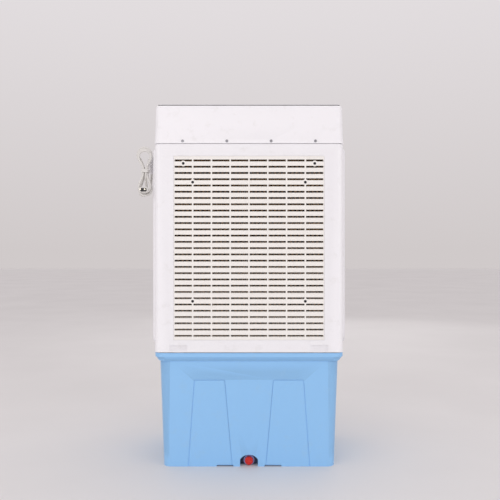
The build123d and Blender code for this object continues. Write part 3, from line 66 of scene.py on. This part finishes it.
class Shader:
    """A node tree with short ways to add nodes and links."""

    def __init__(self, name):
        self.material = bpy.data.materials.new(name)
        self.material.use_nodes = True
        self.tree = self.material.node_tree
        self.surface = self.tree.nodes["Principled BSDF"]
        self.place = self.add("ShaderNodeTexCoord").outputs["Object"]

    def add(self, kind, **settings):
        node = self.tree.nodes.new(kind)
        for key, value in settings.items():
            setattr(node, key, value)
        return node

    def link(self, source, target):
        self.tree.links.new(source, target)

    def noise(self, scale, detail=3.0, roughness=0.5, stretch=None):
        """A noise value over the object, stretched along its axes if asked."""
        place = self.place
        if stretch:
            mapping = self.add("ShaderNodeMapping")
            mapping.inputs["Scale"].default_value = stretch
            self.link(place, mapping.inputs["Vector"])
            place = mapping.outputs["Vector"]
        node = self.add("ShaderNodeTexNoise")
        node.inputs["Scale"].default_value = scale
        node.inputs["Detail"].default_value = detail
        node.inputs["Roughness"].default_value = roughness
        self.link(place, node.inputs["Vector"])
        return node.outputs["Fac"]

    def span(self, value, low, high, to_low, to_high):
        """A value stretched from one range to another, and kept inside it."""
        node = self.add("ShaderNodeMapRange")
        for socket, number in zip(node.inputs[1:5], (low, high, to_low, to_high)):
            socket.default_value = number
        self.link(value, node.inputs[0])
        return node.outputs[0]

    def blend(self, factor, first, second):
        """A mix of two colours or colour outputs by a factor output."""
        node = self.add("ShaderNodeMix", data_type="RGBA")
        self.link(factor, node.inputs[0])
        for socket, colour in ((node.inputs[6], first), (node.inputs[7], second)):
            if isinstance(colour, tuple):
                socket.default_value = colour
            else:
                self.link(colour, socket)
        return node.outputs[2]

    def edges(self, low, high):
        """How far a point is an outer edge, from the mesh's own curvature."""
        return self.span(self.add("ShaderNodeNewGeometry").outputs["Pointiness"], low, high, 0.0, 1.0)

    def bump(self, height, strength, distance):
        node = self.add("ShaderNodeBump")
        node.inputs["Strength"].default_value = strength
        node.inputs["Distance"].default_value = distance
        self.link(height, node.inputs["Height"])
        self.link(node.outputs["Normal"], self.surface.inputs["Normal"])

    def colour(self, output):
        self.link(output, self.surface.inputs["Base Color"])

    def rough(self, output):
        self.link(output, self.surface.inputs["Roughness"])


def moulded(name, colour, rough=(0.38, 0.52), grain=900.0, grain_depth=0.00006, drift=0.05, edge_wear_and_highlight=1.05, dust=None):
    """Moulded plastic: a fine spark-eroded grain, soft flow marks, outer edges painted lighter as edge wear and
    painted highlight, and faint dust.
    """
    shader = Shader(name)
    flow = shader.noise(5.0, 4.0, 0.55, (1.0, 1.0, 0.45))
    patch = shader.span(flow, 0.3, 0.7, 0.0, 1.0)
    tone = shader.blend(patch, scaled(colour, 1 - drift), scaled(colour, 1 + drift / 2))
    specks = shader.span(shader.noise(240.0, 2.0, 0.6), 0.35, 0.75, 0.0, 0.10)
    tone = shader.blend(specks, tone, scaled(colour, 0.82))
    # outer edges lighter by the given factor: partly edge wear, partly painted highlight where edges would catch
    # the light
    tone = shader.blend(shader.edges(0.505, 0.54), tone, scaled(colour, edge_wear_and_highlight))
    if dust:
        low_dirt = shader.span(shader.noise(26.0, 5.0, 0.65), 0.56, 0.78, 0.0, 0.35)
        tone = shader.blend(low_dirt, tone, dust)
    shader.colour(tone)
    fine = shader.noise(grain, 2.0, 0.6)
    shader.rough(shader.span(shader.noise(60.0, 4.0, 0.6), 0.3, 0.7, *rough))
    shader.bump(fine, 0.35, grain_depth)
    return shader.material


def metal(name, colour, rough=(0.25, 0.45), stretch=(1.0, 40.0, 1.0), metallic=1.0, tint=0.75):
    """Metal with drawn or turned marks, and a duller tint in patches."""
    shader = Shader(name)
    shader.surface.inputs["Metallic"].default_value = metallic
    marks = shader.noise(160.0, 3.0, 0.6, stretch)
    stains = shader.span(shader.noise(40.0, 5.0, 0.6), 0.4, 0.7, 0.0, 1.0)
    tone = shader.blend(stains, colour, scaled(colour, tint))
    # outer edges lighter: partly edge wear, partly painted highlight where edges would catch the light
    shader.colour(shader.blend(shader.edges(0.51, 0.56), tone, scaled(colour, 1.25)))
    shader.rough(shader.span(marks, 0.3, 0.7, *rough))
    shader.bump(marks, 0.25, 0.00004)
    return shader.material


def rubber(name, colour):
    """Soft rubber or PVC with a mat surface and fine chalky marks."""
    shader = Shader(name)
    chalk = shader.span(shader.noise(90.0, 5.0, 0.7), 0.5, 0.8, 0.0, 0.25)
    shader.colour(shader.blend(chalk, colour, scaled(colour, 1.3)))
    shader.rough(shader.span(shader.noise(300.0, 2.0), 0.3, 0.7, 0.45, 0.62))
    shader.bump(shader.noise(700.0, 2.0), 0.3, 0.00005)
    return shader.material


def clear(name, colour):
    """Clear acrylic tube with a few fine scuffs."""
    shader = Shader(name)
    shader.surface.inputs["Base Color"].default_value = colour
    shader.surface.inputs["Transmission Weight"].default_value = 0.9
    shader.surface.inputs["IOR"].default_value = 1.49
    shader.rough(shader.span(shader.noise(220.0, 4.0, 0.7, (1.0, 1.0, 0.2)), 0.45, 0.75, 0.04, 0.22))
    shader.bump(shader.noise(120.0, 3.0), 0.1, 0.00003)
    return shader.material


def cellulose(name, front_y):
    """Resin-stiffened kraft paper: brown, fibrous, with darker damp patches, lighter at the front edges and darker
    deeper in, that darkening being painted shade inside the cells.
    """
    shader = Shader(name)
    fibre = shader.noise(420.0, 4.0, 0.7, (1.0, 1.0, 0.25))
    dry = shader.blend(shader.span(fibre, 0.3, 0.7, 0.0, 1.0), rgb(206, 168, 126), rgb(236, 206, 166))
    damp = shader.span(shader.noise(14.0, 4.0, 0.6), 0.42, 0.68, 0.0, 0.5)
    dry = shader.blend(damp, dry, rgb(170, 126, 88))
    parts = shader.add("ShaderNodeSeparateXYZ")
    shader.link(shader.place, parts.inputs[0])
    # painted shade: the paper turns dark brown over the first 10 mm behind the pad's front edges, for the shade
    # inside the cells
    painted_cell_shade = shader.span(parts.outputs[1], front_y, front_y + 0.010, 0.0, 1.0)
    shader.colour(shader.blend(painted_cell_shade, dry, rgb(70, 48, 34)))
    shader.rough(shader.span(fibre, 0.3, 0.7, 0.75, 0.95))
    shader.bump(fibre, 0.5, 0.0003)
    return shader.material


WHITE = rgb(246, 245, 248)
SHARP_ANGLE = radians(28)   # edges bent by more than this stay sharp
PAD_INSET = 0.001           # the pad's front edges, behind the front of its CAD block
materials = {
    "white_plastic": moulded("white_plastic", WHITE, (0.34, 0.46), drift=0.02, edge_wear_and_highlight=1.03, dust=rgb(214, 212, 208)),
    "grille_plastic": moulded("grille_plastic", rgb(247, 244, 239), (0.36, 0.5), drift=0.02, edge_wear_and_highlight=1.02,
                              dust=rgb(226, 219, 206)),
    "tank_blue": moulded("tank_blue", rgb(142, 192, 236), (0.33, 0.45), drift=0.04, edge_wear_and_highlight=1.12,
                         dust=rgb(160, 198, 232)),
    "honeycomb": cellulose("honeycomb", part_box("cooling_pad")[0][1] + PAD_INSET),
    "red_plastic": moulded("red_plastic", rgb(212, 44, 38), (0.22, 0.34), drift=0.06),
    # navy_plastic is the dark plate filling the drain recess: partly its own navy colour, partly painted shade of
    # the recess
    "navy_plastic": moulded("navy_plastic", rgb(36, 42, 70), (0.34, 0.48), drift=0.08, edge_wear_and_highlight=1.5),
    "lilac_plastic": moulded("lilac_plastic", rgb(150, 146, 196), (0.28, 0.4), drift=0.06),
    "black_plastic": moulded("black_plastic", rgb(38, 38, 41), (0.4, 0.58), drift=0.12, edge_wear_and_highlight=1.9),
    "grey_plastic": moulded("grey_plastic", rgb(128, 132, 140), (0.36, 0.5), drift=0.07, edge_wear_and_highlight=1.15),
    "clear_plastic": clear("clear_plastic", rgb(232, 242, 246)),
    "dark_screw": metal("dark_screw", rgb(44, 44, 48), (0.35, 0.6), metallic=0.6),
    "grey_screw": metal("grey_screw", rgb(150, 150, 154), (0.3, 0.5)),
    "steel": metal("steel", rgb(176, 176, 180), (0.18, 0.36)),
    "motor_paint": moulded("motor_paint", rgb(62, 66, 70), (0.3, 0.44), grain=500.0, drift=0.12, edge_wear_and_highlight=1.6),
    "galvanised": metal("galvanised", rgb(160, 165, 170), (0.35, 0.6), (1.0, 1.0, 1.0), 0.85, 0.82),
    "fan_plastic": moulded("fan_plastic", rgb(196, 202, 208), (0.3, 0.45), drift=0.05, edge_wear_and_highlight=1.08,
                           dust=rgb(170, 168, 160)),
    "hose_pvc": rubber("hose_pvc", rgb(196, 204, 208)),
    "cord_white": rubber("cord_white", rgb(226, 224, 220)),
    "brass_pins": metal("brass_pins", rgb(196, 190, 176), (0.12, 0.28)),
}
slot_of = {part["node"]: part["material_slot"] for part in frame["record"]["subparts"]}
for name, node in nodes.items():
    node.data.materials.clear()
    node.data.materials.append(materials[slot_of[name]])
    if node.data.has_custom_normals:
        node.data.attributes.remove(node.data.attributes["custom_normal"])
    node.data.shade_smooth()
    node.data.set_sharp_from_angle(angle=SHARP_ANGLE)


def finish_piece(piece, slot, body, *replaced):
    """Gives a Blender piece the material of its slot, hangs it from its body and hides the CAD nodes it stands for.
    """
    piece.data.materials.append(materials[slot])
    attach(piece, body)
    if replaced:
        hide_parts(*replaced)


# ------------------------------------------------------------------ honeycomb pad
SHEET_PITCH = 0.0066        # from one corrugated sheet to the next
SHEET_SWING = 0.48          # crest of a wave from its sheet's middle, as a share of the pitch
WAVE = 0.0165               # length of one wave up a sheet
WAVE_STEPS = 6
FLUTE_SLOPES = (-18, 42)    # degrees, of the even and the odd sheets
PAD_MARGIN = 0.0005         # between the sheets' ends and the pad's top and bottom
PAPER = 0.0005


def honeycomb_pad():
    """Corrugated sheets stacked across the pad, their flutes crossing at two angles, glued where crests meet."""
    (x_low, y_low, z_low), (x_high, y_high, z_high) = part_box("cooling_pad")
    y_low += PAD_INSET
    count = int((x_high - x_low) / SHEET_PITCH)
    start = (x_low + x_high) / 2 - (count - 1) * SHEET_PITCH / 2
    vertices, faces = [], []
    for sheet in range(count):
        slope = tan(radians(FLUTE_SLOPES[sheet % 2]))
        rise = (y_high - y_low) * slope
        rows = int((z_high - z_low + abs(rise)) / WAVE * WAVE_STEPS) + 2
        first = len(vertices)
        base = z_low - max(rise, 0.0)
        for row in range(rows):
            z = base + row * WAVE / WAVE_STEPS
            x = start + sheet * SHEET_PITCH + SHEET_PITCH * SHEET_SWING * sin(2 * pi * row / WAVE_STEPS)
            for y, height in ((y_low, z), (y_high, z + rise)):
                vertices.append((x, y, min(max(height, z_low + PAD_MARGIN), z_high - PAD_MARGIN)))
        for row in range(rows - 1):
            corner = first + 2 * row
            heights = {round(vertices[corner + step][2], 6) for step in range(4)}
            if len(heights) > 2:
                faces.append((corner, corner + 1, corner + 3, corner + 2))
    mesh = bpy.data.meshes.new("honeycomb_pad")
    mesh.from_pydata(vertices, [], faces)
    mesh.validate()
    for polygon in mesh.polygons:
        polygon.use_smooth = True
    pad = bpy.data.objects.new("honeycomb_pad", mesh)
    bpy.context.collection.objects.link(pad)
    paper = pad.modifiers.new("paper", "SOLIDIFY")
    paper.thickness = PAPER
    paper.offset = 0.0
    finish_piece(pad, "honeycomb", "intake_panel", "cooling_pad")


honeycomb_pad()


# ------------------------------------------------------------------ mains lead
CORD_DIAMETER = 0.007
CORD_ROUTE = [
    (-0.305, -0.097, 0.890),
    (-0.305, -0.097, 0.870),
    (-0.308, -0.100, 0.848),
    (-0.313, -0.112, 0.830),
]
HANK_X = -0.319
HANK_BACK_Y = -0.1150       # the first turn
LAYER = 0.0057              # from one turn to the next, towards the intake side
LAYER_STEPS = 22            # control points over which one turn moves on by a layer
TIE_Z = 0.896
# half width, reach from the tie and sideways lean of each turn's lower lobe, then of its upper lobe
TURNS = (
    ((0.0190, -0.0790, -0.0020), (0.0210, 0.0700, -0.0070)),
    ((0.0180, -0.0700, -0.0025), (0.0200, 0.0730, -0.0035)),
    ((0.0195, -0.0750, -0.0010), (0.0205, 0.0665, -0.0025)),
    ((0.0180, -0.0660, -0.0020), (0.0190, 0.0620, -0.0010)),
)


def lobe(width, reach, lean, side, first):
    """The control points of one lobe, out from the tie on one side, round its fold, and back on the other."""
    size = abs(reach)
    half = [
        (0.0, 0.0040),
        (0.26, 0.0070),
        (1 - 1.900 * width / size, 0.70 * width),
        (1 - 1.414 * width / size, 0.97 * width),
        (1 - 0.586 * width / size, width),
        (1.0, 0.414 * width),
    ]
    path = [(along, side * across) for along, across in half]
    path += [(along, -side * across) for along, across in reversed(half[1:])]
    return [
        (HANK_X + across + lean * along, HANK_BACK_Y - LAYER * (first + step / LAYER_STEPS), TIE_Z + reach * along)
        for step, (along, across) in enumerate(path)
    ]


LEAD_IN = 6                 # points of the first lobe that the route into the hank takes the place of


def hank_points():
    """The turns of the hank, from the foot of the first one, each a layer nearer to the intake side."""
    points = []
    for turn, (lower, upper) in enumerate(TURNS):
        points += lobe(*lower, 1, turn)
        points += lobe(*upper, -1, turn + 0.5)
    return points[LEAD_IN:]


INSERT_SIZE = (0.0190, 0.0016, 0.0110)
INSERT_SINK = 0.0006        # the insert's middle, in front of the plug's face
INSERT_CORNER = 0.0040
INSERT_EDGE = 0.0004


def plug_insert(x, face_y, z):
    """The dark moulded insert round the pins, on the plug's face."""
    mesh = bpy.data.meshes.new("plug_insert")
    form = bmesh.new()
    bmesh.ops.create_cube(form, size=1.0)
    bmesh.ops.scale(form, vec=INSERT_SIZE, verts=form.verts)
    bmesh.ops.translate(form, vec=(x, face_y - INSERT_SINK, z), verts=form.verts)
    upright = [edge for edge in form.edges if abs(edge.verts[0].co.y - edge.verts[1].co.y) > 0.001]
    bmesh.ops.bevel(form, geom=upright, offset=INSERT_CORNER, segments=6, profile=0.5, affect="EDGES")
    form.to_mesh(mesh)
    form.free()
    insert = bpy.data.objects.new("plug_insert", mesh)
    bpy.context.collection.objects.link(insert)
    edge = insert.modifiers.new("edge", "BEVEL")
    edge.width = INSERT_EDGE
    edge.segments = 2
    finish_piece(insert, "black_plastic", "housing")
    return insert


def mains_lead():
    """The lead: down out of its strain relief, four tied turns, and down again into the plug."""
    plug_low, plug_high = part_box("plug_body")
    plug_x = (plug_low[0] + plug_high[0]) / 2
    plug_z = (plug_low[2] + plug_high[2]) / 2
    tail = [
        (HANK_X + 0.0040, HANK_BACK_Y - 0.0222, TIE_Z),
        (HANK_X + 0.0010, HANK_BACK_Y - 0.0200, TIE_Z - 0.016),
        (HANK_X + 0.0005, HANK_BACK_Y - 0.0080, TIE_Z - 0.034),
        (plug_x, HANK_BACK_Y - 0.0010, plug_z + 0.016),
        (plug_x, HANK_BACK_Y - 0.0050, plug_z + 0.003),
        (plug_x, HANK_BACK_Y - 0.0160, plug_z),
        (plug_x, plug_high[1], plug_z),
        (plug_x, plug_high[1] - 0.004, plug_z),
    ]
    points = CORD_ROUTE + hank_points() + tail
    insert = plug_insert(plug_x, plug_low[1], plug_z)
    curve = bpy.data.curves.new("mains_lead", "CURVE")
    curve.dimensions = "3D"
    curve.bevel_depth = CORD_DIAMETER / 2
    curve.bevel_resolution = 4
    curve.use_fill_caps = True
    spline = curve.splines.new("NURBS")
    spline.points.add(len(points) - 1)
    for point, place in zip(spline.points, points):
        point.co = (*place, 1.0)
    spline.order_u = 3
    spline.use_endpoint_u = True
    spline.resolution_u = 6
    lead = bpy.data.objects.new("mains_lead", curve)
    bpy.context.collection.objects.link(lead)
    finish_piece(lead, "cord_white", "housing", "power_cord", "cord_hank")


mains_lead()


# ------------------------------------------------------------------ studio
FLOOR_SIZE = 40.0
HORIZON_RISE = 0.36         # height on the sky, 0 to 1, where its tone stops changing
LAMP_SIZE = 2.4
LAMPS = (                   # name, place, size and power
    ("key", (-1.6, -3.2, 1.3), LAMP_SIZE, 24.0),
    ("fill", (2.4, -2.6, 1.1), LAMP_SIZE, 14.0),
    ("front", (0.6, 3.4, 1.8), LAMP_SIZE, 9.0),
    ("top", (0.0, 0.0, 3.6), 2.6, 8.0),
)
CAMERA_PLACE = (0.003, -2.081, 0.653)
CAMERA_LENS = 45.65


def studio():
    """A plain pale floor, soft lights and the camera, level with the middle of the cooler."""
    bpy.ops.mesh.primitive_plane_add(size=FLOOR_SIZE, location=(0.0, 0.0, 0.0))
    floor = bpy.context.object
    floor.name = "floor"
    shader = Shader("floor_paint")
    patch = shader.span(shader.noise(1.5, 3.0), 0.3, 0.7, 0.0, 1.0)
    shader.colour(shader.blend(patch, rgb(224, 222, 221), rgb(229, 227, 226)))
    shader.surface.inputs["Roughness"].default_value = 0.7
    floor.data.materials.append(shader.material)
    world = bpy.data.worlds.new("studio")
    bpy.context.scene.world = world
    world.use_nodes = True
    sky = world.node_tree.nodes
    join = world.node_tree.links.new
    place, height, tone = sky.new("ShaderNodeTexCoord"), sky.new("ShaderNodeSeparateXYZ"), sky.new("ShaderNodeMix")
    join(place.outputs["Generated"], height.inputs[0])
    tone.data_type = "RGBA"
    rise = sky.new("ShaderNodeMapRange")
    rise.inputs[2].default_value = HORIZON_RISE
    join(height.outputs[2], rise.inputs[0])
    join(rise.outputs[0], tone.inputs[0])
    tone.inputs[6].default_value = rgb(208, 202, 202)
    tone.inputs[7].default_value = rgb(226, 221, 223)
    join(tone.outputs[2], sky["Background"].inputs["Color"])
    for name, place, size, power in LAMPS:
        light = bpy.data.objects.new(name, bpy.data.lights.new(name, "AREA"))
        light.data.size = size
        light.data.energy = power
        light.location = place
        bpy.context.collection.objects.link(light)
        aim = light.constraints.new("TRACK_TO")
        aim.target = nodes["water_tank"]
        aim.track_axis = "TRACK_NEGATIVE_Z"
        aim.up_axis = "UP_Y"
    scene = bpy.context.scene
    scene.view_settings.view_transform = "Standard"
    camera = bpy.data.objects.new("camera", bpy.data.cameras.new("camera"))
    camera.data.lens = CAMERA_LENS
    camera.data.sensor_width = 36.0
    camera.location = CAMERA_PLACE
    camera.rotation_euler = (radians(90), 0.0, 0.0)
    bpy.context.collection.objects.link(camera)
    scene.camera = camera


studio()
